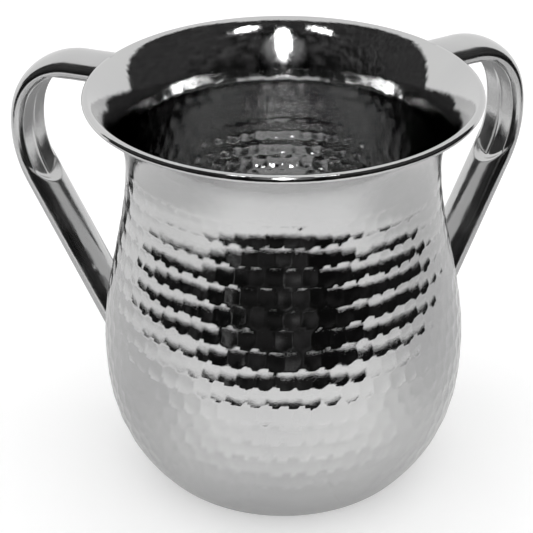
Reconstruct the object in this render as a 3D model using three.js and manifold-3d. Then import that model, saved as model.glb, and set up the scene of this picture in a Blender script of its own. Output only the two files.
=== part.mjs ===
// Two-handled washing cup of hammered stainless steel: a belly, a waisted neck, a trumpet lip
// with a rolled edge, and two bent tube handles on its rear half.
// Millimetres, +Z up. The origin is the centre of the underside, X = 0 is the plane of symmetry,
// and both handles lean towards +Y, so that the free side for pouring faces -Y.

import * as THREE from 'three';
import { mergeVertices } from 'three/addons/utils/BufferGeometryUtils.js';
import Module from 'manifold-3d';

// Cup body
const HEIGHT = 134;
const RIM_RADIUS = 62.5;
const NECK_RADIUS = 50.2;
const LIP_HEIGHT = 23;
const BELLY_RADIUS = 60.1;
const BELLY_HEIGHT = 44.6;
const FOOT_RADIUS = 47.3;
const CORNER_RADIUS = 8;
const CORNER_ANGLE = THREE.MathUtils.degToRad(51);
const SHEET = 0.8;
const EDGE_ROLL_RADIUS = 1.3;

// Hammer marks
const MARKS_FROM = 14;
const MARKS_PAST_NECK = 1;
const MARK_ROWS = 14;
const MARKS_PER_ROW = 64;
const MARK_DEPTH = 0.35;
const MARK_POINT_SHARE = 0.13;

// Handles
const HANDLE_SPREAD = THREE.MathUtils.degToRad(120);
const TUBE_WIDTH = 17;
const TUBE_THICKNESS = 9;
const TOP_RUN_SLOPE = THREE.MathUtils.degToRad(-2);
const TOP_RUN_PAST_RIM = 11.1;
const SHOULDER_RADIUS = 22.4;
const SHOULDER_TURN = THREE.MathUtils.degToRad(73.5);
const SIDE_RADIUS = 36;
const SIDE_TURN = THREE.MathUtils.degToRad(43);
const HEEL_OFF_BELLY = 4.4;
const HEEL_RADIUS = 30;
const HEEL_TURN = THREE.MathUtils.degToRad(30);
const HEEL_RUN = 8;
const FACE_EDGE_HALF = 6.4;
const FACE_EDGE_DEPTH = 2.1;
const FACE_CREASE_DEPTH = 1;
const FACE_FADE = 9;

// Fits
const WELD_GAP = 0.3;

// Fineness of the facets
const EDGE_SIDES = 64;
const INNER_SIDES = 48;
const LIP_STEPS = 3;
const EDGE_ROLL_STEPS = 7;
const CORNER_STEPS = 3;
const INNER_WALL_STEPS = 8;
const CUTTER_SIDES = 96;
const CUTTER_STEPS = 12;
const SECTION_SIDES = 12;
const STATION_PITCH = 6.2;
const CURVE_SHARE = 0.25;

const steel = (roughness) => new THREE.MeshStandardMaterial({ color: 0xc4c6c8, roughness, metalness: 1 });

// Outline of the body's outer side, from the axis to the rolled edge.
const neckHeight = HEIGHT - LIP_HEIGHT;
const marksTo = neckHeight + MARKS_PAST_NECK;
const cornerTop = CORNER_RADIUS * (1 - Math.cos(CORNER_ANGLE));
const baseRadius = FOOT_RADIUS - CORNER_RADIUS * Math.sin(CORNER_ANGLE);
const lowerRise = BELLY_HEIGHT - cornerTop;
const lowerPower = lowerRise / ((BELLY_RADIUS - FOOT_RADIUS) * Math.tan(CORNER_ANGLE));

function wallRadius(z) {
  if (z < BELLY_HEIGHT) {
    const left = (BELLY_HEIGHT - z) / lowerRise;
    return BELLY_RADIUS - (BELLY_RADIUS - FOOT_RADIUS) * left ** lowerPower;
  }
  return BELLY_RADIUS + (NECK_RADIUS - BELLY_RADIUS) * THREE.MathUtils.smoothstep(z, BELLY_HEIGHT, neckHeight);
}

// A point set off from the outer side by the given distance, measured square to the wall.
function wallPoint(z, offset) {
  const reach = SHEET / 2;
  const run = new THREE.Vector2(wallRadius(z + reach) - wallRadius(z - reach), 2 * reach).normalize();
  return new THREE.Vector2(wallRadius(z) + offset * run.y, z - offset * run.x);
}

function cornerPoint(angle, offset) {
  const radius = CORNER_RADIUS + offset;
  return new THREE.Vector2(baseRadius + radius * Math.sin(angle), CORNER_RADIUS - radius * Math.cos(angle));
}

// The lip is an arc that leaves the neck upright and runs tangent into the rolled edge.
const rollCentre = new THREE.Vector2(RIM_RADIUS - EDGE_ROLL_RADIUS, HEIGHT - EDGE_ROLL_RADIUS);
const rollInset = EDGE_ROLL_RADIUS - SHEET;
const lipOut = rollCentre.x - NECK_RADIUS;
const lipUp = rollCentre.y - neckHeight;
const lipRadius = (lipOut ** 2 + lipUp ** 2 - rollInset ** 2) / (2 * (lipOut - rollInset));
const lipAngle = Math.atan2(lipUp, lipRadius - lipOut);

function lipPoint(angle, offset) {
  const radius = lipRadius - offset;
  return new THREE.Vector2(NECK_RADIUS + lipRadius - radius * Math.cos(angle), neckHeight + radius * Math.sin(angle));
}

function rollPoint(angle) {
  return new THREE.Vector2(EDGE_ROLL_RADIUS * Math.cos(angle), EDGE_ROLL_RADIUS * Math.sin(angle)).add(rollCentre);
}

// The rolled edge starts where it leaves the lip's inner side and ends on the lip's outer side.
const rollFrom = Math.PI - lipAngle;
const rollTo = rollFrom + Math.acos(rollInset / EDGE_ROLL_RADIUS) - 2 * Math.PI;
const lipStop = lipAngle - Math.sqrt(EDGE_ROLL_RADIUS ** 2 - rollInset ** 2) / lipRadius;
const lipStart = Math.asin((marksTo - neckHeight) / lipRadius);

function outerPoint(z) {
  return z > neckHeight ? lipPoint(Math.asin((z - neckHeight) / lipRadius), 0) : wallPoint(z, 0);
}

function spaced(from, to, steps, pointAt) {
  return Array.from({ length: steps + 1 }, (unused, i) => pointAt(from + ((to - from) * i) / steps));
}

// A closed skin made of rings of points that are stitched to each other.
class Skin {
  constructor() {
    this.points = [];
    this.faces = [];
  }

  point(x, y, z) {
    this.points.push(x, y, z);
    return this.points.length / 3 - 1;
  }

  around(profile, angle) {
    return this.point(profile.x * Math.cos(angle), profile.x * Math.sin(angle), profile.y);
  }

  ring(profile, sides) {
    return Array.from({ length: sides }, (unused, i) => this.around(profile, (i / sides) * 2 * Math.PI));
  }

  face(a, b, c) {
    this.faces.push(a, b, c);
  }

  // Joins two rings that both start at the same angle, whatever their numbers of points.
  stitch(lower, upper) {
    let i = 0;
    let j = 0;
    while (i < lower.length || j < upper.length) {
      const a = lower[i % lower.length];
      const b = upper[j % upper.length];
      if (j === upper.length || (i < lower.length && (i + 1) / lower.length <= (j + 1) / upper.length)) {
        i += 1;
        this.face(a, lower[i % lower.length], b);
      } else {
        j += 1;
        this.face(a, upper[j % upper.length], b);
      }
    }
  }

  stitchAll(rings) {
    rings.slice(1).forEach((ring, i) => this.stitch(rings[i], ring));
  }

  // Closes a ring with a fan about one point.
  close(ring, centre, upwards) {
    ring.forEach((a, i) => {
      const b = ring[(i + 1) % ring.length];
      if (upwards) this.face(a, b, centre);
      else this.face(b, a, centre);
    });
  }

  geometry() {
    const geometry = new THREE.BufferGeometry();
    geometry.setAttribute('position', new THREE.Float32BufferAttribute(this.points, 3));
    geometry.setIndex(this.faces);
    geometry.computeVertexNormals();
    return geometry;
  }
}

// Body: one shell whose outer side carries staggered rows of hammer marks.
function bodyGeometry() {
  const skin = new Skin();
  const rowPitch = (marksTo - MARKS_FROM) / MARK_ROWS;
  const halfStep = Math.PI / MARKS_PER_ROW;
  const ridgeSides = 2 * MARKS_PER_ROW;

  // Ridges between the rows run in a zigzag, because each row's marks sit between its neighbours'.
  const ridges = Array.from({ length: MARK_ROWS + 1 }, (unused, row) => {
    const middle = MARKS_FROM + row * rowPitch;
    const sway = row === 0 || row === MARK_ROWS ? 0 : MARK_POINT_SHARE * rowPitch;
    return Array.from({ length: ridgeSides }, (unusedToo, i) => {
      const pointsUp = i % 2 !== row % 2;
      return skin.around(outerPoint(middle + (pointsUp ? sway : -sway)), i * halfStep);
    });
  });
  for (let row = 0; row < MARK_ROWS; row += 1) {
    const low = ridges[row];
    const high = ridges[row + 1];
    const sunk = wallPoint(MARKS_FROM + (row + 0.5) * rowPitch, -MARK_DEPTH);
    for (let i = row % 2; i < ridgeSides; i += 2) {
      const left = (i + ridgeSides - 1) % ridgeSides;
      const right = (i + 1) % ridgeSides;
      const middle = skin.around(sunk, i * halfStep);
      skin.face(middle, low[i], low[right]);
      skin.face(middle, low[right], high[right]);
      skin.face(middle, high[right], high[i]);
      skin.face(middle, high[i], high[left]);
      skin.face(middle, high[left], low[left]);
      skin.face(middle, low[left], low[i]);
    }
  }

  const corner = spaced(0, CORNER_ANGLE, CORNER_STEPS, (angle) => cornerPoint(angle, 0));
  const belowMarks = wallPoint((cornerTop + MARKS_FROM) / 2, 0);
  const foot = [...corner, belowMarks].map((point) => skin.ring(point, EDGE_SIDES));
  skin.close(foot[0], skin.point(0, 0, 0), false);
  skin.stitchAll([...foot, ridges[0]]);

  const lip = spaced(lipStart, lipStop, LIP_STEPS, (angle) => lipPoint(angle, 0)).slice(1, -1);
  const roll = spaced(rollTo, rollFrom, EDGE_ROLL_STEPS, rollPoint);
  const edge = [...lip, ...roll].map((point) => skin.ring(point, EDGE_SIDES));
  skin.stitchAll([ridges[MARK_ROWS], ...edge]);

  const innerLip = spaced(lipAngle, 0, LIP_STEPS, (angle) => lipPoint(angle, -SHEET)).slice(1);
  const innerWall = spaced(neckHeight, cornerTop, INNER_WALL_STEPS, (z) => wallPoint(z, -SHEET)).slice(1);
  const innerCorner = spaced(CORNER_ANGLE, 0, CORNER_STEPS, (angle) => cornerPoint(angle, -SHEET)).slice(1);
  const inside = [...innerLip, ...innerWall, ...innerCorner].map((point) => skin.ring(point, INNER_SIDES));
  skin.stitchAll([edge[edge.length - 1], ...inside]);
  skin.close(inside[inside.length - 1], skin.point(0, 0, SHEET), true);
  return skin.geometry();
}

// Path of a handle in its own upright plane: x is the distance from the cup's axis, y the height.
function handlePath() {
  const curves = [];
  const topHeight = HEIGHT - TUBE_THICKNESS / 2;
  const place = new THREE.Vector2(NECK_RADIUS, topHeight - (NECK_RADIUS - RIM_RADIUS) * -Math.tan(TOP_RUN_SLOPE));
  let heading = TOP_RUN_SLOPE;
  const ahead = () => new THREE.Vector2(Math.cos(heading), Math.sin(heading));

  const run = (length) => {
    const next = place.clone().addScaledVector(ahead(), length);
    curves.push({ curve: new THREE.LineCurve(place.clone(), next), bent: 0 });
    place.copy(next);
  };
  const bend = (radius, turn) => {
    const side = new THREE.Vector2(Math.sin(heading), -Math.cos(heading));
    const centre = place.clone().addScaledVector(side, radius);
    const from = heading + Math.PI / 2;
    const arc = new THREE.ArcCurve(centre.x, centre.y, radius, from, from - turn, true);
    curves.push({ curve: arc, bent: 1 });
    heading -= turn;
    place.copy(arc.getPoint(1));
  };

  run((RIM_RADIUS + TOP_RUN_PAST_RIM - NECK_RADIUS) / Math.cos(TOP_RUN_SLOPE));
  bend(SHOULDER_RADIUS, SHOULDER_TURN);
  bend(SIDE_RADIUS, SIDE_TURN);
  run((BELLY_RADIUS + HEEL_OFF_BELLY - place.x) / Math.cos(heading));
  bend(HEEL_RADIUS, HEEL_TURN);
  run(HEEL_RUN);
  return curves;
}

// Stations along the path, each with its place, direction and how far the tube is pressed flat.
function stationsOf(curves) {
  const lengths = curves.map(({ curve }) => curve.getLength());
  const pressFrom = lengths[0];
  const pressTo = lengths[0] + lengths[1] + lengths[2];
  const smooth = THREE.MathUtils.smoothstep;
  const stations = [];
  let travelled = 0;
  curves.forEach(({ curve, bent }, index) => {
    const pitch = STATION_PITCH * (bent ? 1 : 1 / CURVE_SHARE ** 0.5);
    const steps = Math.max(2, Math.round(lengths[index] / pitch));
    for (let i = index === 0 ? 0 : 1; i <= steps; i += 1) {
      const share = i / steps;
      const along = travelled + lengths[index] * share;
      const pressed = smooth(along, pressFrom - FACE_FADE, pressFrom + FACE_FADE)
        * (1 - smooth(along, pressTo - FACE_FADE, pressTo + FACE_FADE));
      stations.push({ place: curve.getPoint(share), ahead: curve.getTangent(share), pressed });
    }
    travelled += lengths[index];
  });
  return stations;
}

// Half thickness of the tube on the inside of the bend, at a distance from its middle line.
function innerHalf(across, round, pressed) {
  const beside = Math.abs(across);
  const half = TUBE_WIDTH / 2;
  const face = beside < FACE_EDGE_HALF
    ? THREE.MathUtils.lerp(FACE_CREASE_DEPTH, FACE_EDGE_DEPTH, beside / FACE_EDGE_HALF)
    : FACE_EDGE_DEPTH * Math.sqrt(Math.max(0, (half - beside) / (half - FACE_EDGE_HALF)));
  return THREE.MathUtils.lerp(round, Math.min(face, round), pressed);
}

function handleGeometry() {
  const skin = new Skin();
  const stations = stationsOf(handlePath());
  const rings = stations.map(({ place, ahead, pressed }) => {
    const outwards = new THREE.Vector2(-ahead.y, ahead.x);
    return Array.from({ length: SECTION_SIDES }, (unused, i) => {
      const angle = (i / SECTION_SIDES) * 2 * Math.PI;
      const across = (TUBE_WIDTH / 2) * Math.cos(angle);
      const round = (TUBE_THICKNESS / 2) * Math.abs(Math.sin(angle));
      const out = Math.sin(angle) >= 0 ? round : -innerHalf(across, round, pressed);
      const at = place.clone().addScaledVector(outwards, out);
      return skin.point(at.x, across, at.y);
    });
  });
  const first = stations[0].place;
  const last = stations[stations.length - 1].place;
  skin.stitchAll(rings);
  skin.close(rings[0], skin.point(first.x, 0, first.y), false);
  skin.close(rings[rings.length - 1], skin.point(last.x, 0, last.y), true);
  return skin.geometry();
}

// The filled body with the weld gap around it and the space over its mouth, which trims both ends
// of a handle.
function trimGeometry() {
  const corner = spaced(0, CORNER_ANGLE, CORNER_STEPS, (angle) => cornerPoint(angle, WELD_GAP));
  const wall = spaced(cornerTop, neckHeight, CUTTER_STEPS, (z) => wallPoint(z, WELD_GAP)).slice(1);
  const lip = spaced(0, lipStop, CUTTER_STEPS, (angle) => lipPoint(angle, WELD_GAP)).slice(1);
  const edge = spaced(rollTo, Math.PI / 2, CUTTER_STEPS, (angle) => {
    const out = rollPoint(angle).sub(rollCentre);
    return out.setLength(EDGE_ROLL_RADIUS + WELD_GAP).add(rollCentre);
  });
  const outline = [...corner, ...wall, ...lip, ...edge];
  const bottom = new THREE.Vector2(0, outline[0].y);
  const above = HEIGHT + TUBE_THICKNESS;
  const top = [new THREE.Vector2(rollCentre.x, above), new THREE.Vector2(0, above)];
  return new THREE.LatheGeometry([bottom, ...outline, ...top], CUTTER_SIDES).rotateX(Math.PI / 2);
}

const wasm = await Module();
wasm.setup();

function solidOf(geometry) {
  const bare = geometry.clone();
  bare.deleteAttribute('normal');
  bare.deleteAttribute('uv');
  const merged = mergeVertices(bare);
  return new wasm.Manifold(new wasm.Mesh({
    numProp: 3,
    vertProperties: new Float32Array(merged.getAttribute('position').array),
    triVerts: new Uint32Array(merged.getIndex().array),
  }));
}

function geometryOf(solid) {
  const mesh = solid.getMesh();
  const geometry = new THREE.BufferGeometry();
  geometry.setAttribute('position', new THREE.BufferAttribute(mesh.vertProperties, 3));
  geometry.setIndex(new THREE.BufferAttribute(mesh.triVerts, 1));
  geometry.computeVertexNormals();
  return geometry;
}

const cup = new THREE.Group();

const body = new THREE.Mesh(bodyGeometry(), steel(0.08));
body.name = 'cup_body';
cup.add(body);

const trimmedHandle = geometryOf(solidOf(handleGeometry()).subtract(solidOf(trimGeometry())));
const fromSide = (Math.PI - HANDLE_SPREAD) / 2;
[['handle_right', fromSide], ['handle_left', Math.PI - fromSide]].forEach(([name, azimuth]) => {
  const handle = new THREE.Mesh(trimmedHandle, steel(0.12));
  handle.name = name;
  handle.rotation.z = azimuth;
  cup.add(handle);
});

export default cup;
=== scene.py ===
"""Looks of a washing cup of hammered, polished steel with two bent tube handles, in metres."""
import math

import bpy
import numpy as np
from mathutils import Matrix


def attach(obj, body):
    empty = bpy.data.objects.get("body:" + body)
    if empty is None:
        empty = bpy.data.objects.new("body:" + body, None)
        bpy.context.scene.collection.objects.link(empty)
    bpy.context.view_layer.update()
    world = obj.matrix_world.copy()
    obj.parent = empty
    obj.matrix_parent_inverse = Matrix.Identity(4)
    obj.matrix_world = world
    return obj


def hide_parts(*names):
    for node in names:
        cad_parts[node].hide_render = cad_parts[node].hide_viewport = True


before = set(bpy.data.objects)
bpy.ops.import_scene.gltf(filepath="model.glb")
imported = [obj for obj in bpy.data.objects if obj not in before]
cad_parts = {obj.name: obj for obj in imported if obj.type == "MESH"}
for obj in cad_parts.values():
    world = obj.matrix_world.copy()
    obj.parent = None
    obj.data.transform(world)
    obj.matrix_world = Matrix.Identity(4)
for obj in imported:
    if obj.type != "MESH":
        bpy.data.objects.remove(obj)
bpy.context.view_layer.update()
MM = 0.001
random = np.random.default_rng(7)

# Body profile, in millimetres
HEIGHT = 134
RIM_RADIUS = 62.5
NECK_RADIUS = 50.2
NECK_HEIGHT = 111
BELLY_RADIUS = 60.1
BELLY_HEIGHT = 44.6
FOOT_RADIUS = 47.3
CORNER_RADIUS = 8
CORNER_ANGLE = math.radians(51)
SHEET = 0.8
ROLL_RADIUS = 1.3

# Rings of points round the body, with heights and steps in millimetres
COLUMNS = 448
PLAIN_COLUMNS = 224
FINE_FROM = 48
FINE_INSIDE = 62
OUTER_STEPS = (1.6, 0.9)
INNER_STEPS = (2.4, 1.05)
BASE_RINGS = (14, 28, 38)
CORNER_RINGS = 8
PLAIN_WALL_RINGS = 6
INNER_PLAIN_WALL_RINGS = 5
LIP_RINGS = 11
INNER_LIP_RINGS = 10
ROLL_RINGS = 20
NEAR_BY = 0.05

# Hammer marks, in millimetres
MARKS_PER_ROW = 64
MARKS_FROM = 14
MARKS_TO = 112
MARK_DEPTH = 0.22
MARK_DEPTH_SPREAD = (0.75, 1.2)
MARK_DRIFT_ALONG = 0.07
MARK_DRIFT_UP = 0.3
DEEPER_BELOW = 60
DEEPER_SHARE = 1.3
SHALLOWER_ABOVE = (92, 104)
SHALLOWER_BY = 0.35
INNER_MARK_SHARE = 2
INNER_MARKS_TO = 118
MARKS_FADE = 3
MARKS_MARGIN = 1
OUTER_SOFTNESS = 0.01
INNER_SOFTNESS = 0.05
MARK_REACH = 3.6
MARK_CUT_OFF = 2.2
ROWS_WITHIN = 3
EXPONENT_LIMIT = 60
MARK_LEAN = 0.3
MARK_LEAN_OVER = 2
TOP_ROW = 114.57
ROW_PITCH = 6.37
PROFILE_END = HEIGHT - 3
PROFILE_STEPS = 2000

# Handles, in millimetres along and across their own upright plane
HANDLE_AZIMUTH = math.radians(30)
TUBE_WIDTH = 17
TUBE_THICKNESS = 9
TOP_RUN_SLOPE = math.radians(-2)
TOP_RUN_PAST_RIM = 11.1
SHOULDER = (22.4, math.radians(73.5))
SIDE = (36, math.radians(43))
HEEL_OFF_BELLY = 4.4
HEEL = (30, math.radians(30))
HEEL_RUN = 8
FACE_EDGE_HALF = 6.4
FACE_EDGE_DEPTH = 2.1
FACE_MIDDLE_DEPTH = 1.85
CREASE_DEPTH = 0.16
CREASE_HALF = 0.5
FACE_PAST_BEND = 3
FACE_FADE = 1.8
FACE_END_ROUND = 12
WELD_DEPTH = 0.35
WELD_FROM_TOP_BEND = 6
WELD_FROM_FACE_END = 12
END_STEPS = 400
HANDLE_SIDES = 96
HANDLE_STATION = 0.6
TINY = 1e-9

corner_top = CORNER_RADIUS * (1 - math.cos(CORNER_ANGLE))
base_radius = FOOT_RADIUS - CORNER_RADIUS * math.sin(CORNER_ANGLE)
lower_rise = BELLY_HEIGHT - corner_top
lower_power = lower_rise / ((BELLY_RADIUS - FOOT_RADIUS) * math.tan(CORNER_ANGLE))
roll_centre = (RIM_RADIUS - ROLL_RADIUS, HEIGHT - ROLL_RADIUS)
roll_inset = ROLL_RADIUS - SHEET
lip_out = roll_centre[0] - NECK_RADIUS
lip_up = roll_centre[1] - NECK_HEIGHT
lip_radius = (lip_out ** 2 + lip_up ** 2 - roll_inset ** 2) / (2 * (lip_out - roll_inset))
lip_angle = math.atan2(lip_up, lip_radius - lip_out)
roll_from = math.pi - lip_angle
roll_to = roll_from + math.acos(roll_inset / ROLL_RADIUS) - 2 * math.pi
marked_from = MARKS_FROM - MARKS_FADE
marked_to = MARKS_TO + MARKS_FADE + MARKS_MARGIN
inner_marked_to = INNER_MARKS_TO + MARKS_FADE + MARKS_MARGIN
lip_stop = lip_angle - math.sqrt(ROLL_RADIUS ** 2 - roll_inset ** 2) / lip_radius


def smoothstep(x, low, high):
    share = np.clip((x - low) / (high - low), 0, 1)
    return share * share * (3 - 2 * share)


def wall_radius(z):
    """Outer radius of the belly and neck at heights z."""
    z = np.asarray(z, float)
    under = np.clip((BELLY_HEIGHT - z) / lower_rise, 0, None)
    below = BELLY_RADIUS - (BELLY_RADIUS - FOOT_RADIUS) * under ** lower_power
    above = BELLY_RADIUS + (NECK_RADIUS - BELLY_RADIUS) * smoothstep(z, BELLY_HEIGHT, NECK_HEIGHT)
    return np.where(z < BELLY_HEIGHT, below, above)


def lip_point(angle):
    """(radius, height) on the lip's outer side, at an angle up its arc."""
    return (NECK_RADIUS + lip_radius * (1 - math.cos(angle)), NECK_HEIGHT + lip_radius * math.sin(angle))


def outer_point(z):
    """(radius, height) on the outer side, from the top of the rounded corner to the rolled edge."""
    if z > NECK_HEIGHT:
        return lip_point(math.asin((z - NECK_HEIGHT) / lip_radius))
    return float(wall_radius(z)), z


def body_radius(z):
    """Radius of the filled body at heights z."""
    z = np.asarray(z, float)
    low = base_radius + np.sqrt(np.clip(CORNER_RADIUS ** 2 - (CORNER_RADIUS - z) ** 2, 0, None))
    rise = np.clip((z - NECK_HEIGHT) / lip_radius, 0, math.sin(lip_stop))
    lip = NECK_RADIUS + lip_radius * (1 - np.sqrt(1 - rise ** 2))
    out = np.where(z < corner_top, low, np.where(z < NECK_HEIGHT, wall_radius(z), lip))
    beside = np.clip(ROLL_RADIUS ** 2 - (z - roll_centre[1]) ** 2, 0, None)
    in_roll = np.abs(z - roll_centre[1]) < ROLL_RADIUS
    roll = np.where(in_roll, roll_centre[0] + np.sqrt(beside), 0)
    return np.where(z > roll_centre[1], np.where(in_roll, roll, roll_centre[0]), np.maximum(out, roll))


# Hammer marks: staggered rows of centres over the outer side, as (angle, length along the profile)
wall_heights = np.linspace(corner_top, PROFILE_END, PROFILE_STEPS)
wall_profile = np.array([outer_point(z) for z in wall_heights])
wall_lengths = np.concatenate([[0], np.cumsum(np.hypot(*np.diff(wall_profile, axis=0).T))])


def length_at(z):
    """Length along the outer profile at height z."""
    return np.interp(z, wall_heights, wall_lengths)


mark_rows = []
for index, row_height in enumerate(np.arange(TOP_ROW, MARKS_FROM, -ROW_PITCH)):
    angles = (np.arange(MARKS_PER_ROW) + 0.5 * (index % 2)) * 2 * math.pi / MARKS_PER_ROW
    angles = angles + random.normal(0, MARK_DRIFT_ALONG, MARKS_PER_ROW) * 2 * math.pi / MARKS_PER_ROW
    heights = row_height + random.normal(0, MARK_DRIFT_UP, MARKS_PER_ROW)
    depths = MARK_DEPTH * random.uniform(*MARK_DEPTH_SPREAD, MARKS_PER_ROW)
    if row_height < DEEPER_BELOW:
        depths = depths * DEEPER_SHARE
    depths = depths * (1 - SHALLOWER_BY * smoothstep(row_height, *SHALLOWER_ABOVE))
    mark_rows.append((angles, length_at(heights), outer_point(row_height)[0], depths))


def mark_depths(z, angles, softness, top):
    """How deep the marks reach at one height, for every angle."""
    length = length_at(z)
    total = np.full(angles.shape, 1.0)
    sharpness = 1 / softness
    for centres, lengths, radius, depths in mark_rows:
        if abs(length - lengths.mean()) > ROWS_WITHIN * MARK_REACH:
            continue
        turn = angles[:, None] - centres[None, :]
        turn = (turn + math.pi) % (2 * math.pi) - math.pi
        above = length - lengths[None, :]
        narrowing = 1 - MARK_LEAN * np.tanh(above / MARK_LEAN_OVER)
        away2 = (turn * radius) ** 2 * narrowing + above ** 2
        caps = depths[None, :] * (1 - away2 / MARK_REACH ** 2)
        near = away2 < (MARK_CUT_OFF * MARK_REACH) ** 2
        total = total + (np.exp(np.clip(caps * sharpness, None, EXPONENT_LIMIT)) * near).sum(1)
    fade = smoothstep(z, MARKS_FROM - MARKS_FADE, MARKS_FROM + MARKS_FADE)
    fade = fade * (1 - smoothstep(z, top - MARKS_FADE, top + MARKS_FADE))
    return np.log(total) * softness * fade


# The two marked sides: offset from the outer profile, softness between marks, share of their depth, top
OUTSIDE = (0, OUTER_SOFTNESS, 1, MARKS_TO)
INSIDE = (-SHEET, INNER_SOFTNESS, INNER_MARK_SHARE, INNER_MARKS_TO)


def ring_angles(count):
    return np.arange(count) * 2 * math.pi / count


def plain_ring(radius, z):
    """Points of an even ring; the mesh's own normals are right for it."""
    angles = ring_angles(PLAIN_COLUMNS)
    return np.stack([radius * np.cos(angles), radius * np.sin(angles), np.full(angles.shape, z)], 1), None


def marked_points(z, angles, offset, softness, share, top):
    radius, height = outer_point(z)
    ahead = outer_point(z + NEAR_BY)
    behind = outer_point(z - NEAR_BY)
    along = np.array([ahead[0] - behind[0], ahead[1] - behind[1]])
    along /= np.hypot(*along)
    depth = offset - share * mark_depths(z, angles, softness, top)
    out = radius + depth * along[1]
    return np.stack([out * np.cos(angles), out * np.sin(angles), height - depth * along[0]], 1)


def marked_ring(z, side):
    """Points and normals of a ring that follows the hammer marks."""
    angles = ring_angles(COLUMNS)
    here = marked_points(z, angles, *side)
    sideways = marked_points(z, angles + NEAR_BY / BELLY_RADIUS, *side) - here
    upward = marked_points(z + NEAR_BY, angles, *side) - here
    normal = np.cross(sideways, upward) * (1 if side is OUTSIDE else -1)
    return here, normal / np.linalg.norm(normal, axis=1)[:, None]


def inner_point(z):
    """(radius, height) on the plain inner side, opposite the outer side's height z."""
    radius, height = outer_point(z)
    ahead = outer_point(z + NEAR_BY)
    along = np.array([ahead[0] - radius, ahead[1] - height])
    along /= np.hypot(*along)
    return radius - SHEET * along[1], height + SHEET * along[0]


def corner_ring(angle, radius, bottom):
    return plain_ring(base_radius + radius * math.sin(angle), bottom + radius * (1 - math.cos(angle)))


def outer_rings():
    """Rings from the underside up the outer side and over the rolled edge."""
    low_step, high_step = OUTER_STEPS
    rings = [plain_ring(radius, 0) for radius in BASE_RINGS]
    for angle in np.linspace(0, CORNER_ANGLE, CORNER_RINGS, endpoint=False):
        rings.append(corner_ring(angle, CORNER_RADIUS, 0))
    for z in np.linspace(corner_top, marked_from, PLAIN_WALL_RINGS, endpoint=False):
        rings.append(plain_ring(*outer_point(z)))
    low_rings = np.arange(marked_from, FINE_FROM, low_step)
    for z in np.concatenate([low_rings, np.arange(FINE_FROM, marked_to, high_step)]):
        rings.append(marked_ring(z, OUTSIDE))
    lip_from = math.asin((marked_to - NECK_HEIGHT) / lip_radius)
    for angle in np.linspace(lip_from, lip_stop, LIP_RINGS, endpoint=False):
        rings.append(plain_ring(*lip_point(angle)))
    for angle in np.linspace(roll_to, roll_from, ROLL_RINGS):
        radius = roll_centre[0] + ROLL_RADIUS * math.cos(angle)
        rings.append(plain_ring(radius, roll_centre[1] + ROLL_RADIUS * math.sin(angle)))
    return rings


def inner_rings():
    """Rings from the rolled edge down the inner side to the middle of the floor."""
    low_step, high_step = INNER_STEPS
    rings = []
    inner_from = math.asin((inner_marked_to - NECK_HEIGHT) / lip_radius)
    radius = lip_radius + SHEET
    for angle in np.linspace(lip_angle, inner_from, INNER_LIP_RINGS + 2)[1:-1]:
        out = NECK_RADIUS + lip_radius - radius * math.cos(angle)
        rings.append(plain_ring(out, NECK_HEIGHT + radius * math.sin(angle)))
    high_rings = np.arange(inner_marked_to, FINE_INSIDE, -high_step)
    for z in np.concatenate([high_rings, np.arange(FINE_INSIDE, marked_from, -low_step)]):
        rings.append(marked_ring(z, INSIDE))
    for z in np.linspace(marked_from, corner_top, INNER_PLAIN_WALL_RINGS, endpoint=False):
        rings.append(plain_ring(*inner_point(z)))
    for angle in np.linspace(CORNER_ANGLE, 0, CORNER_RINGS):
        rings.append(corner_ring(angle, CORNER_RADIUS - SHEET, SHEET))
    return rings + [plain_ring(radius, SHEET) for radius in BASE_RINGS[::-1]]


# Meshes
def joined(start, count, next_start, next_count):
    """Faces between two rings; one of them may have twice as many points as the other."""
    if count == next_count:
        low = np.arange(count)
        up = (low + 1) % count
        return np.stack([start + low, start + up, next_start + up, next_start + low], 1).tolist()
    low = np.arange(min(count, next_count))
    up = (low + 1) % len(low)
    fine_low, fine_mid, fine_up = 2 * low, 2 * low + 1, 2 * up
    if count > next_count:
        sets = ((start + fine_low, start + fine_mid, next_start + low),
                (start + fine_mid, start + fine_up, next_start + up),
                (start + fine_mid, next_start + up, next_start + low))
    else:
        sets = ((start + low, start + up, next_start + fine_mid),
                (start + low, next_start + fine_mid, next_start + fine_low),
                (start + up, next_start + fine_up, next_start + fine_mid))
    return np.concatenate([np.stack(corners, 1) for corners in sets]).tolist()


def skin_object(name, rings, first, last, normals=()):
    """A closed mesh through rings of points, closed by fans about the points first and last."""
    points = np.concatenate([*rings, [first, last]]) * MM
    counts = [len(ring) for ring in rings]
    starts = np.concatenate([[0], np.cumsum(counts)])
    faces = []
    for row in range(len(rings) - 1):
        faces += joined(starts[row], counts[row], starts[row + 1], counts[row + 1])
    low = np.arange(counts[0])
    up = (low + 1) % counts[0]
    faces += np.stack([up, low, np.full(counts[0], len(points) - 2)], 1).tolist()
    low = np.arange(counts[-1])
    up = (low + 1) % counts[-1]
    faces += np.stack([starts[-2] + low, starts[-2] + up, np.full(counts[-1], len(points) - 1)], 1).tolist()
    mesh = bpy.data.meshes.new(name)
    mesh.from_pydata(points.tolist(), [], faces)
    mesh.shade_smooth()
    mesh.update()
    if len(normals) > 0:
        directions = np.empty(3 * len(points))
        mesh.vertex_normals.foreach_get("vector", directions)
        directions = directions.reshape(-1, 3)
        for start, ring in zip(starts, normals):
            if ring is not None:
                directions[start:start + len(ring)] = ring
        mesh.normals_split_custom_set_from_vertices(directions.tolist())
    thing = bpy.data.objects.new(name, mesh)
    bpy.context.scene.collection.objects.link(thing)
    return thing


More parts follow.
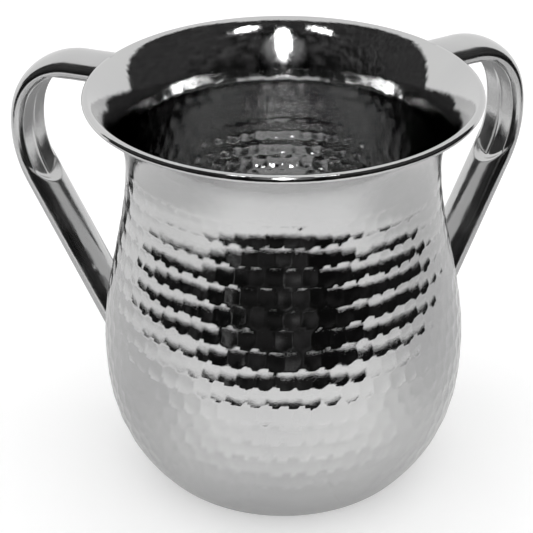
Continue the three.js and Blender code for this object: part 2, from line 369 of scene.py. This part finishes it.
# Handles
class Path:
    """Runs and bends in the upright plane (radius, height), sampled at any length along them."""

    def __init__(self, place, heading):
        self.place = np.array(place, float)
        self.heading = heading
        self.parts = []
        self.length = 0

    def run(self, length):
        self.parts.append((self.length, self.place.copy(), self.heading, None))
        self.place = self.place + length * np.array([math.cos(self.heading), math.sin(self.heading)])
        self.length += length

    def bend(self, radius, turn):
        self.parts.append((self.length, self.place.copy(), self.heading, radius))
        self.place = self.on_arc(self.parts[-1], radius * turn)[0]
        self.heading -= turn
        self.length += radius * turn

    @staticmethod
    def on_arc(part, along):
        """Place and heading at a length along one run or bend."""
        place, heading, radius = part[1:]
        if radius is None:
            return place + along * np.array([math.cos(heading), math.sin(heading)]), heading
        turned = heading - along / radius
        side = np.array([math.sin(heading), -math.cos(heading)])
        back = np.array([-math.sin(turned), math.cos(turned)])
        return place + radius * (side + back), turned

    def at(self, along):
        part = [part for part in self.parts if part[0] <= along + TINY][-1]
        return self.on_arc(part, along - part[0])


def handle_path():
    """The tube's middle line, from inside the neck over the shoulder and down to the belly."""
    top = HEIGHT - TUBE_THICKNESS / 2
    path = Path((NECK_RADIUS, top + (NECK_RADIUS - RIM_RADIUS) * math.tan(TOP_RUN_SLOPE)), TOP_RUN_SLOPE)
    path.run((RIM_RADIUS + TOP_RUN_PAST_RIM - NECK_RADIUS) / math.cos(TOP_RUN_SLOPE))
    path.bend(*SHOULDER)
    path.bend(*SIDE)
    path.run((BELLY_RADIUS + HEEL_OFF_BELLY - path.place[0]) / math.cos(path.heading))
    path.bend(*HEEL)
    path.run(HEEL_RUN)
    return path


path = handle_path()
press_from = path.parts[1][0]
press_to = path.parts[3][0] + FACE_PAST_BEND


def section_point(along, angle):
    """Point (radius, across, height) on the tube's skin."""
    place, heading = path.at(along)
    half = TUBE_WIDTH / 2
    across = half * math.cos(angle)
    round_half = TUBE_THICKNESS / 2 * abs(math.sin(angle))
    out = round_half
    if math.sin(angle) < 0:
        beside = abs(across)
        if beside < FACE_EDGE_HALF:
            bowl = (FACE_EDGE_DEPTH - FACE_MIDDLE_DEPTH) * (beside / FACE_EDGE_HALF) ** 2
            face = FACE_MIDDLE_DEPTH + bowl - CREASE_DEPTH * math.exp(-(beside / CREASE_HALF) ** 2)
        else:
            face = FACE_EDGE_DEPTH * math.sqrt(max(0, (half - beside) / (half - FACE_EDGE_HALF)))
        face = min(face, round_half)
        inset = FACE_END_ROUND * (1 - math.sqrt(max(0, 1 - (across / half) ** 2)))
        begin = press_from + inset
        end = press_to - inset
        begun = smoothstep(along, begin - FACE_FADE, begin + FACE_FADE)
        ended = smoothstep(along, end - FACE_FADE, end + FACE_FADE)
        out = -(round_half + (face - round_half) * float(begun * (1 - ended)))
    return place[0] - math.sin(heading) * out, across, place[1] + math.cos(heading) * out


def buried(point):
    return math.hypot(point[0], point[1]) < float(body_radius(point[2])) - WELD_DEPTH


def end_length(angle, start, stop):
    """Length along the path at which one line of the tube's skin sinks into the body."""
    free = start
    for along in np.linspace(start, stop, END_STEPS):
        if buried(section_point(along, angle)):
            return (free + along) / 2
        free = along
    return stop


def handle_rings():
    """Rings of (radius, across, height) whose spacing near the welds follows the body's form."""
    head_from = press_from - WELD_FROM_TOP_BEND
    tail_from = press_to + WELD_FROM_FACE_END
    stations = np.linspace(0, path.length, int(path.length / HANDLE_STATION))
    angles = ring_angles(HANDLE_SIDES)
    heads = [end_length(angle, head_from, 0) for angle in angles]
    tails = [end_length(angle, tail_from, path.length) for angle in angles]
    rings = []
    for along in stations:
        ring = []
        for angle, head, tail in zip(angles, heads, tails):
            at = along
            if along < head_from:
                at = head + (head_from - head) * along / head_from
            elif along > tail_from:
                at = tail_from + (tail - tail_from) * (along - tail_from) / (path.length - tail_from)
            ring.append(section_point(at, angle))
        rings.append(ring)
    return np.array(rings)


def placed(rings, azimuth):
    """The rings turned about the cup's axis to a handle's azimuth."""
    turned = rings.copy()
    turned[..., 0] = rings[..., 0] * math.cos(azimuth) - rings[..., 1] * math.sin(azimuth)
    turned[..., 1] = rings[..., 0] * math.sin(azimuth) + rings[..., 1] * math.cos(azimuth)
    return turned


# Node helpers
def object_place(tree):
    return tree.nodes.new("ShaderNodeTexCoord").outputs["Object"]


def noise(tree, place, scale, detail=2):
    node = tree.nodes.new("ShaderNodeTexNoise")
    node.inputs["Scale"].default_value = scale
    node.inputs["Detail"].default_value = detail
    tree.links.new(place, node.inputs["Vector"])
    return node.outputs["Fac"]


def mapped(tree, value, source, target, kind="LINEAR"):
    node = tree.nodes.new("ShaderNodeMapRange")
    node.interpolation_type = kind
    node.inputs["From Min"].default_value = source[0]
    node.inputs["From Max"].default_value = source[1]
    node.inputs["To Min"].default_value = target[0]
    node.inputs["To Max"].default_value = target[1]
    tree.links.new(value, node.inputs["Value"])
    return node.outputs["Result"]


def stretched(tree, place, scale):
    node = tree.nodes.new("ShaderNodeMapping")
    node.inputs["Scale"].default_value = scale
    tree.links.new(place, node.inputs["Vector"])
    return node.outputs["Vector"]


def spot(tree, place, middle, turn, spans):
    """A value from 0 at an ellipsoid's rim to 1 in its middle; spans are its half widths."""
    centred = tree.nodes.new("ShaderNodeMapping")
    centred.vector_type = "TEXTURE"
    centred.inputs["Location"].default_value = middle
    centred.inputs["Rotation"].default_value = (0, 0, turn)
    centred.inputs["Scale"].default_value = spans
    tree.links.new(place, centred.inputs["Vector"])
    gradient = tree.nodes.new("ShaderNodeTexGradient")
    gradient.gradient_type = "SPHERICAL"
    tree.links.new(centred.outputs["Vector"], gradient.inputs["Vector"])
    return gradient.outputs["Fac"]


def ramp(tree, value, stops, colours):
    node = tree.nodes.new("ShaderNodeValToRGB")
    for element, stop, colour in zip(node.color_ramp.elements, stops, colours):
        element.position = stop
        element.color = (*colour, 1)
    tree.links.new(value, node.inputs["Fac"])
    return node.outputs["Color"]


def bump(tree, height, strength, distance):
    node = tree.nodes.new("ShaderNodeBump")
    node.inputs["Strength"].default_value = strength
    node.inputs["Distance"].default_value = distance
    tree.links.new(height, node.inputs["Height"])
    return node


# Steel: noise scales per metre, bump distances in metres
SMUDGE_DETAIL = 6
SMUDGE_RANGE = (0.35, 0.75)
ROUGHNESS_SPREAD = (0.7, 1.8)
TONE_SCALE_SHARE = 0.4
TONE_DETAIL = 3
TONE_STOPS = (0.3, 0.7)
DARKER_TONE = (0.95, 0.95, 0.955)
LIGHTER_TONE = (1.04, 1.04, 1.035)
SCRATCH_STRETCH = (1, 1, 14)
SCRATCH_SCALE = 900
SCRATCH_STRENGTH = 0.35
SCRATCH_DISTANCE = 0.00002
RIPPLE_SCALE = 260
RIPPLE_DETAIL = 1
RIPPLE_STRENGTH = 0.5
RIPPLE_DISTANCE = 0.0001


def steel(name, shade, roughness, smudge_scale):
    """Polished steel with duller smudges, faint changes of tone, ripples and fine level scratches."""
    material = bpy.data.materials.new(name)
    material.use_nodes = True
    tree = material.node_tree
    shader = tree.nodes["Principled BSDF"]
    shader.inputs["Metallic"].default_value = 1
    place = object_place(tree)
    smudges = noise(tree, place, smudge_scale, SMUDGE_DETAIL)
    dull = mapped(tree, smudges, SMUDGE_RANGE, [roughness * share for share in ROUGHNESS_SPREAD])
    tree.links.new(dull, shader.inputs["Roughness"])
    tone = noise(tree, place, smudge_scale * TONE_SCALE_SHARE, TONE_DETAIL)
    tones = [[shade * share for share in colour] for colour in (DARKER_TONE, LIGHTER_TONE)]
    tree.links.new(ramp(tree, tone, TONE_STOPS, tones), shader.inputs["Base Color"])
    scratches = noise(tree, stretched(tree, place, SCRATCH_STRETCH), SCRATCH_SCALE)
    ripples = noise(tree, place, RIPPLE_SCALE, RIPPLE_DETAIL)
    polish = bump(tree, scratches, SCRATCH_STRENGTH, SCRATCH_DISTANCE)
    wave = bump(tree, ripples, RIPPLE_STRENGTH, RIPPLE_DISTANCE)
    tree.links.new(polish.outputs["Normal"], wave.inputs["Normal"])
    tree.links.new(wave.outputs["Normal"], shader.inputs["Normal"])
    return material


body_steel = steel("hammered steel", shade=0.6, roughness=0.028, smudge_scale=55)
handle_steel = steel("tube steel", shade=0.58, roughness=0.15, smudge_scale=70)

# Pieces
body_skin, body_normals = zip(*outer_rings(), *inner_rings())
body = skin_object("body", body_skin, (0, 0, 0), (0, 0, SHEET), body_normals)
body.data.materials.append(body_steel)
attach(body, "root")
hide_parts("cup_body")

tube_rings = handle_rings()
tube_ends = np.array([[tube_rings[0].mean(0), tube_rings[-1].mean(0)]])
for side, azimuth in (("right", HANDLE_AZIMUTH), ("left", math.pi - HANDLE_AZIMUTH)):
    first, last = placed(tube_ends, azimuth)[0]
    handle = skin_object("handle_tube_" + side, placed(tube_rings, azimuth), first, last)
    handle.data.materials.append(handle_steel)
    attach(handle, "root")
    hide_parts("handle_" + side)


# Studio, in metres; x runs to the right and y away from the camera, before the turn to the view
VIEW_TURN = math.radians(-5.7)
GRAIN_SCALE = 30
GRAIN_SHADE = 0.98
SURFACE_ROUGHNESS = 0.9
SQUARE = ((-1, -1), (1, -1), (1, 1), (-1, 1))
FLOOR_HALF = 3
FLOOR_SHADE = 0.92
# The floor's glow is a painted pool of light, strongest about the cup and fainter far from it
FLOOR_GLOW_FAR = 0.13
FLOOR_GLOW_NEAR = 0.3
FLOOR_GLOW_SPANS = (0.36, 1.6, 1)
FLOOR_GLOW_RANGE = (0.1, 0.75)


def faced(x, y, z):
    """A place given as seen from the camera's side: x to the right, y away from the camera."""
    cos = math.cos(VIEW_TURN)
    sin = math.sin(VIEW_TURN)
    return (x * cos - y * sin, x * sin + y * cos, z)


def plain_surface(name, colour, glow):
    """A dull, evenly grained surface; returns its material and shader."""
    material = bpy.data.materials.new(name)
    material.use_nodes = True
    tree = material.node_tree
    shader = tree.nodes["Principled BSDF"]
    grain = noise(tree, object_place(tree), GRAIN_SCALE)
    shades = [(colour * GRAIN_SHADE,) * 3, (colour,) * 3]
    tree.links.new(ramp(tree, grain, (0, 1), shades), shader.inputs["Base Color"])
    shader.inputs["Roughness"].default_value = SURFACE_ROUGHNESS
    shader.inputs["Specular IOR Level"].default_value = 0
    shader.inputs["Emission Color"].default_value = (1, 1, 1, 1)
    shader.inputs["Emission Strength"].default_value = glow
    return material, shader


def panel(name, points, faces, material):
    mesh = bpy.data.meshes.new(name)
    mesh.from_pydata(points, [], faces)
    mesh.update()
    thing = bpy.data.objects.new(name, mesh)
    bpy.context.scene.collection.objects.link(thing)
    thing.data.materials.append(material)
    return thing


def floor_surface():
    """White paper with a painted pool of light: its glow is brightest about the cup and falls off to both
    sides.
    """
    material, shader = plain_surface("white floor", FLOOR_SHADE, 0)
    tree = material.node_tree
    pool = spot(tree, object_place(tree), (0, 0, 0), VIEW_TURN, FLOOR_GLOW_SPANS)
    glow = mapped(tree, pool, FLOOR_GLOW_RANGE, (FLOOR_GLOW_FAR, FLOOR_GLOW_NEAR), "SMOOTHSTEP")
    tree.links.new(glow, shader.inputs["Emission Strength"])
    return material


floor_corners = [(x * FLOOR_HALF, y * FLOOR_HALF, 0) for x, y in SQUARE]
panel("floor", floor_corners, [(0, 1, 2, 3)], floor_surface())


def reflected_only(thing):
    """Only mirror reflections show the thing."""
    thing.visible_camera = False
    thing.visible_diffuse = False
    thing.visible_shadow = False


# The dark room round the front and both sides, which only the mirror-like steel shows
ROOM_SHADE = 0.002
ROOM_TOP = 2.0
ROOM_FRONT = -0.255
ROOM_RIGHT = 3.3
ROOM_LEFT = -4.7
OPEN_LEFT = ((ROOM_LEFT, 2.1), (-1.4, 0.66), (-0.35, ROOM_FRONT))
OPEN_RIGHT = ((0.3, ROOM_FRONT), (1.4, 0.84), (ROOM_RIGHT, 2.3))
GROUND_LIFT = 0.001
PAPER_RIGHT = 0.33
PAPER_LEFT = -0.36
GROUND_BACK_LEFT = (0.1, 1.3)
GROUND_BACK_RIGHT = (0.2, 2)
# Painted dim light on the room: a faint glow in uneven patches, rising with height
ROOM_PATCH_SCALE = 26
ROOM_PATCH_DETAIL = 4
ROOM_PATCH_STRETCH = (1, 1, 0.45)
ROOM_PATCH_RANGE = (0.45, 0.7)
ROOM_PATCH_SHARES = (0.6, 6)
ROOM_RISE_HEIGHTS = (0.08, 0.5)
ROOM_RISE_GLOWS = (0.005, 0.022)

room_points = [faced(x, y, ROOM_TOP) for x, y in OPEN_LEFT + OPEN_RIGHT]
room_points += [faced(ROOM_RIGHT, ROOM_FRONT, ROOM_TOP), faced(ROOM_LEFT, ROOM_FRONT, ROOM_TOP)]
room_points += [faced(*OPEN_LEFT[0], 0), faced(ROOM_LEFT, ROOM_FRONT, 0)]
room_points += [faced(ROOM_RIGHT, ROOM_FRONT, 0), faced(*OPEN_RIGHT[-1], 0)]
ceiling = [(0, 1, 2, 7), (3, 4, 5, 6)]
walls = [(0, 7, 9, 8), (7, 6, 10, 9), (6, 5, 11, 10)]
grounds = []
for paper, reach, back, far_back in ((PAPER_LEFT, ROOM_LEFT, *GROUND_BACK_LEFT),
                                     (PAPER_RIGHT, ROOM_RIGHT, *GROUND_BACK_RIGHT)):
    corners = ((paper, ROOM_FRONT), (reach, ROOM_FRONT), (reach, far_back), (paper, back))
    grounds.append(tuple(range(len(room_points), len(room_points) + len(corners))))
    room_points += [faced(x, y, GROUND_LIFT) for x, y in corners]


def room_surface():
    """Nearly black, with a painted dim glow in uneven patches that grows with height, standing in for the
    dimly lit room.
    """
    material, shader = plain_surface("dark room", ROOM_SHADE, 1)
    tree = material.node_tree
    place = object_place(tree)
    patches = noise(tree, stretched(tree, place, ROOM_PATCH_STRETCH), ROOM_PATCH_SCALE, ROOM_PATCH_DETAIL)
    uneven = mapped(tree, patches, ROOM_PATCH_RANGE, ROOM_PATCH_SHARES)
    split = tree.nodes.new("ShaderNodeSeparateXYZ")
    tree.links.new(place, split.inputs["Vector"])
    rise = mapped(tree, split.outputs["Z"], ROOM_RISE_HEIGHTS, ROOM_RISE_GLOWS)
    dim = tree.nodes.new("ShaderNodeMath")
    dim.operation = "MULTIPLY"
    tree.links.new(uneven, dim.inputs[0])
    tree.links.new(rise, dim.inputs[1])
    tree.links.new(dim.outputs["Value"], shader.inputs["Emission Strength"])
    return material


reflected_only(panel("dark_room", room_points, ceiling + walls + grounds, room_surface()))

# Lights and dim shapes on the room's front, and soft shades on the paper
PANEL_SHADE = 0.3
DARK_SHADE = 0.003
STAND_SHADE = 0.01
LIGHT_FULL_AT = 0.6
DIM_EDGE = 0.01


def light_panel(name, middle, size, core, edge=0, shade=PANEL_SHADE):
    """An upright panel, square to the view, that glows from edge to core towards its middle."""
    x, y, z = middle
    half_width = size[0] / 2
    half_height = size[1] / 2
    material, shader = plain_surface(name, shade, core)
    tree = material.node_tree
    bright = spot(tree, object_place(tree), faced(*middle), VIEW_TURN, (half_width, 1, half_height))
    glow = mapped(tree, bright, (0, LIGHT_FULL_AT), (edge, core), "SMOOTHSTEP")
    tree.links.new(glow, shader.inputs["Emission Strength"])
    corners = [faced(x + side * half_width, y, z + up * half_height) for side, up in SQUARE]
    reflected_only(panel(name, corners, [(0, 1, 2, 3)], material))


light_panel("strip_light", (0, -0.245, 0.52), (0.055, 0.68), core=20, shade=DARK_SHADE)
light_panel("strip_halo", (0, -0.2505, 0.4), (0.2, 0.54), core=0.32, shade=DARK_SHADE)
light_panel("left_window", (-0.225, -0.25, 0.9), (0.18, 0.32), core=10)
light_panel("right_window", (0.233, -0.25, 0.94), (0.18, 0.32), core=10)
# The dim stand and dim shapes glow faintly: painted light standing in for dimly lit things in the dark room
light_panel("dim_stand", (-0.137, -0.25, 0.06), (0.012, 0.14), core=0.16, edge=DIM_EDGE, shade=STAND_SHADE)
for place, middle, size, core in (("left", (-0.065, -0.251, 0.045), (0.035, 0.06), 0.025),
                                  ("middle", (0.014, -0.252, 0.055), (0.03, 0.05), 0.07),
                                  ("right", (0.056, -0.25, 0.048), (0.04, 0.08), 0.03)):
    light_panel("dim_shape_" + place, middle, size, core, DIM_EDGE, DARK_SHADE)


def shade_patch(name, middle, spans, strength, full_at):
    """A soft-edged shade on the paper that only reflections show; spans are its half widths."""
    x, y, z = middle
    material, shader = plain_surface(name, PANEL_SHADE, 0)
    tree = material.node_tree
    shade = spot(tree, object_place(tree), faced(*middle), VIEW_TURN, (*spans, 1))
    amount = mapped(tree, shade, (0, full_at), (0, strength), "SMOOTHSTEP")
    clear = tree.nodes.new("ShaderNodeBsdfTransparent")
    blend = tree.nodes.new("ShaderNodeMixShader")
    tree.links.new(amount, blend.inputs["Fac"])
    tree.links.new(clear.outputs["BSDF"], blend.inputs[1])
    tree.links.new(shader.outputs["BSDF"], blend.inputs[2])
    tree.links.new(blend.outputs["Shader"], tree.nodes["Material Output"].inputs["Surface"])
    corners = [faced(x + side * spans[0], y + deep * spans[1], z) for side, deep in SQUARE]
    reflected_only(panel(name, corners, [(0, 1, 2, 3)], material))


shade_patch("shade_wide", (0, 0, 0.0003), (1.5, 1.5), strength=0.13, full_at=0.5)
shade_patch("shade_behind", (0, 0.165, 0.0004), (0.19, 0.075), strength=0.9, full_at=0.55)
shade_patch("shade_left", (-0.145, 0.04, 0.0005), (0.13, 0.22), strength=0.41, full_at=0.6)
shade_patch("shade_right", (0.19, 0.04, 0.0006), (0.17, 0.22), strength=0.42, full_at=0.6)
shade_patch("shade_under", (0, -0.03, 0.0007), (0.11, 0.08), strength=0.3, full_at=0.8)

# Even light from all round
WORLD_LIGHT = 0.92
world = bpy.data.worlds.new("studio")
bpy.context.scene.world = world
world.use_nodes = True
background = world.node_tree.nodes["Background"]
background.inputs["Color"].default_value = (1, 1, 1, 1)
background.inputs["Strength"].default_value = WORLD_LIGHT

# Camera: lengths of the photograph in its pixels, places in metres
PHOTO_WIDTH = 533
FOCAL_LENGTH = 1526
AXIS_OFF_MIDDLE = 16.9
SENSOR_WIDTH = 36
CAMERA_DISTANCE = 0.4375
CAMERA_HEIGHT = 0.3235
CAMERA_PITCH = math.radians(30.13)
camera_data = bpy.data.cameras.new("camera")
camera_data.sensor_width = SENSOR_WIDTH
camera_data.lens = FOCAL_LENGTH / PHOTO_WIDTH * SENSOR_WIDTH
camera_data.shift_x = -AXIS_OFF_MIDDLE / PHOTO_WIDTH
camera = bpy.data.objects.new("camera", camera_data)
camera.location = faced(0, -CAMERA_DISTANCE, CAMERA_HEIGHT)
camera.rotation_euler = (math.pi / 2 - CAMERA_PITCH, 0, VIEW_TURN)
bpy.context.scene.collection.objects.link(camera)
bpy.context.scene.camera = camera
bpy.context.scene.view_settings.view_transform = "Standard"
bpy.context.scene.view_settings.look = "None"
